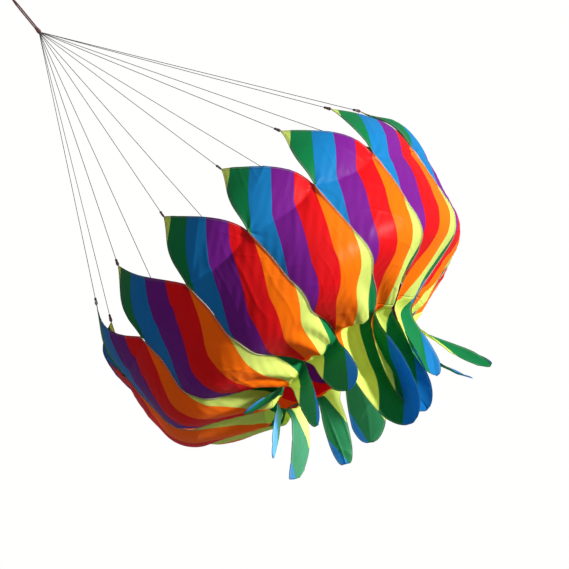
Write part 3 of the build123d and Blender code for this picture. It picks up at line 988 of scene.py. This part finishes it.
# ---------------------------------------------------------------- tip loops and bridle lines
knot_foot = KNOT - LEADER_UP * (KNOT_LENGTH / 2)
for k in range(PANELS):
    number = f"{k + 1:02d}"
    angle = tip_angle(k)
    tip = MOUTH + outward(angle) * LIP_R
    start = knot_foot + outward(angle) * LINE_RING_R
    pull = unit(start - tip)
    round_way = along(angle)
    side = np.cross(round_way, pull)
    loop_end = tip + pull * LOOP_LENGTH

    # a folded webbing loop: an oval band, drawn in where the line pulls
    turn = np.linspace(0, 2 * math.pi, 40, endpoint=False)
    straight = LOOP_LENGTH / 2 - LOOP_WIDTH / 2
    lengthwise = np.cos(turn) * (LOOP_WIDTH / 2) + np.clip(np.cos(turn) * 3, -1, 1) * straight
    drawn_in = 1 - 0.30 * smooth(np.abs(lengthwise), 0, LOOP_LENGTH / 2)
    widthwise = np.sin(turn) * (LOOP_WIDTH / 2 - 0.0002) * drawn_in
    middle = tip + pull * (LOOP_LENGTH / 2)
    band_t = 0.0029
    points, uvs = [], []
    for inner, w in ((0.0, -1), (0.0, 1), (band_t, 1), (band_t, -1)):
        a = lengthwise * (1 - inner / (LOOP_LENGTH / 2))
        b = widthwise * (1 - inner / (LOOP_WIDTH / 2))
        pinch = 1 - 0.35 * smooth(lengthwise, 0, LOOP_LENGTH / 2)
        deep = w * LOOP_DEPTH / 2 * pinch
        points.append(middle + pull * a[:, None] + side * b[:, None] + round_way * deep[:, None])
        uvs.append(np.stack([np.full(40, w * 0.5), turn * 0.006], 1))
    points, uvs = np.stack(points, 1).reshape(-1, 3), np.stack(uvs, 1).reshape(-1, 2)
    faces = []
    for r in range(40):
        for c in range(4):
            ahead, beside = (r + 1) % 40, (c + 1) % 4
            faces.append((r * 4 + c, ahead * 4 + c, ahead * 4 + beside, r * 4 + beside))
    loop = add_mesh(f"tip_webbing_{number}", points, faces, uvs)
    edge_round = loop.modifiers.new("Soft edges", "BEVEL")
    edge_round.width, edge_round.segments, edge_round.limit_method = 0.0003, 2, "ANGLE"
    loop.data.materials.append(maroon_tape)
    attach(loop, "drogue")
    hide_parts(f"tip_loop_{number}")

    # bar tack that closes the loop on the cloth
    tack = []
    for i in range(5):
        at = tip + pull * (0.0035 + 0.0007 * i)
        tack.append(np.array([at - side * 0.0036 + round_way * s for s in (-0.0017, 0, 0.0017)]))
        tack.append(np.array([at + side * 0.0036 + round_way * s for s in (-0.0017, 0, 0.0017)]))
    tacks = add_tubes(f"bar_tack_{number}", tack, 0.0003, dark_thread, 5)
    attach(tacks, "drogue")

    # the line, and the knot that ties it to its loop
    sag = np.array([0, 0, -0.0015])
    route = [start, (start + loop_end) / 2 + sag, loop_end]
    path = evened(spline_points(route), 0.012)
    line = add_tubes(f"bridle_cord_{number}", [path], LINE_R * LINE_FUZZ, line_cord, 8)
    knot_turn = np.linspace(0, 4.5 * 2 * math.pi, 90)
    climb = np.linspace(-LINE_KNOT_R * 1.3, LINE_KNOT_R * 1.5, 90)
    swell = 0.0014 + 0.0012 * np.sin(np.linspace(0, math.pi, 90))
    ring = side * np.cos(knot_turn)[:, None] + round_way * np.sin(knot_turn)[:, None]
    wraps = loop_end + pull * climb[:, None] + ring * swell[:, None]
    tie = add_tubes(f"line_knot_{number}", [wraps], LINE_R, line_cord, 7)
    for piece in (line, tie):
        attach(piece, "drogue")
    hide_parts(f"bridle_line_{number}")

# ---------------------------------------------------------------- leader, whipping and bridle knot
STRAND_Y = LEADER_R + STRAND_GAP / 2
BIGHT_R = EYE_WIRE_R + LEADER_R + BIGHT_CLEARANCE
neck = BAR - LEADER_UP * NECK_BELOW_EYE
knot_top = KNOT + LEADER_UP * (KNOT_LENGTH / 2)
whipping_foot = neck - LEADER_UP * (WHIPPING_LENGTH + WHIPPING_BELOW_NECK)
front_way = np.cross(LEADER_UP, AWAY)
QUARTER_TURN = [(0.030, 90), (0.022, 60), (0.013, 30), (0.005, 0)]  # metres below the whipping, degrees


def strand(side):
    """One leader strand's course from the knot up to the bight, a quarter turn about the other on its way."""
    turning = [(whipping_foot - LEADER_UP * below, angle) for below, angle in QUARTER_TURN]
    turns = [(knot_top, 90)] + turning + [(neck, 0)]
    course = []
    for place, angle in turns:
        turned = math.radians(angle)
        course.append(place + side * STRAND_Y * (AWAY * math.cos(turned) + front_way * math.sin(turned)))
    heights = (BAR_Z - NECK_BELOW_EYE / 2, BAR_Z + BIGHT_R)
    return course + [np.array([0, side * BIGHT_R, height]) for height in heights]


route = strand(1) + strand(-1)[::-1]
leader_path = evened(spline_points(route), 0.0012)
leader = add_tubes(
    "leader_rope", twisted(leader_path, LEADER_R * 0.50, 0.011, 3), LEADER_R * 0.55, maroon_cord, 8
)
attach(leader, "drogue")
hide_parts("leader_cord")

thread_r = 0.00045
turns = WHIPPING_LENGTH / (2.1 * thread_r)
at = np.linspace(0, 1, 320)
wind = at * turns * 2 * math.pi
wide = LEADER_R + 0.0006
oval_y = np.sin(wind) * wide + np.clip(np.sin(wind) * 3, -1, 1) * STRAND_Y
oval_x = np.cos(wind) * wide
whipping_climb = 0.0004 + at * (WHIPPING_LENGTH - 0.0008)
whipping_path = (
    whipping_foot
    + LEADER_UP * whipping_climb[:, None]
    + AWAY * oval_y[:, None]
    + front_way * oval_x[:, None]
)
whipping = add_tubes("whipping_thread", [whipping_path], thread_r, whipping_thread, 6)
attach(whipping, "drogue")
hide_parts("leader_whipping")

KNOT_CORD_R = 0.0016
wraps_at = np.linspace(0, 1, 260)
spin = wraps_at * 6.5 * 2 * math.pi
knot_radii = [KNOT_R - KNOT_BULGE, KNOT_R, KNOT_R - KNOT_BULGE / 2, KNOT_R - KNOT_BULGE]
swell = np.interp(wraps_at, [0, 0.3, 0.6, 1.0], knot_radii) - KNOT_CORD_R
knot_path = (
    KNOT
    + LEADER_UP * ((wraps_at - 0.5) * (KNOT_LENGTH - 2 * KNOT_CORD_R))[:, None]
    + (AWAY * np.cos(spin)[:, None] + front_way * np.sin(spin)[:, None]) * swell[:, None]
)
core_heights = np.linspace(-KNOT_LENGTH / 2 + 0.001, KNOT_LENGTH / 2 - 0.001, 9)
core = np.array([KNOT + LEADER_UP * h for h in core_heights])
knot_parts = [tube_parts(knot_path, KNOT_CORD_R, 8), tube_parts(core, 0.0034, 12)]
offset = len(knot_parts[0][0])
knot = add_mesh(
    "bridle_knot_wraps",
    np.concatenate([p[0] for p in knot_parts]),
    knot_parts[0][1] + [tuple(offset + i for i in f) for f in knot_parts[1][1]],
    np.concatenate([p[2] for p in knot_parts]),
)
knot.data.materials.append(maroon_cord)
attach(knot, "drogue")
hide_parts("bridle_knot")

# ---------------------------------------------------------------- the snap and its swivel
for node, finish in (
    ("snap_body", plated),
    ("snap_bolt", polished),
    ("thumb_knob", brassy),
    ("swivel_eye", polished),
):
    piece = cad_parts[node]
    piece.data.materials.clear()
    piece.data.materials.append(finish)

# the bolt's spring, which the bolt presses together inside the barrel
spring_low, spring_high = (np.array(corner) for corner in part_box("bolt_spring"))
spring_axis = (spring_low + spring_high) / 2
spring_r = (spring_high[1] - spring_low[1]) / 2 - SPRING_WIRE_R
coil = np.linspace(0, 1, SPRING_TURNS * 24 + 1)
coil_turn = coil * SPRING_TURNS * 2 * math.pi
coil_rise = np.interp(coil, [0, 0.12, 0.88, 1], [0, 0.04, 0.96, 1])
spring_path = np.stack(
    [
        spring_axis[0] + spring_r * np.cos(coil_turn),
        spring_axis[1] + spring_r * np.sin(coil_turn),
        spring_low[2] + SPRING_WIRE_R + coil_rise * (spring_high[2] - spring_low[2] - 2 * SPRING_WIRE_R),
    ],
    1,
)
spring = add_tubes("spring_coil", [spring_path], SPRING_WIRE_R, spring_steel, 8)
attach(spring, "snap")
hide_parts("bolt_spring")
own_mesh(spring)
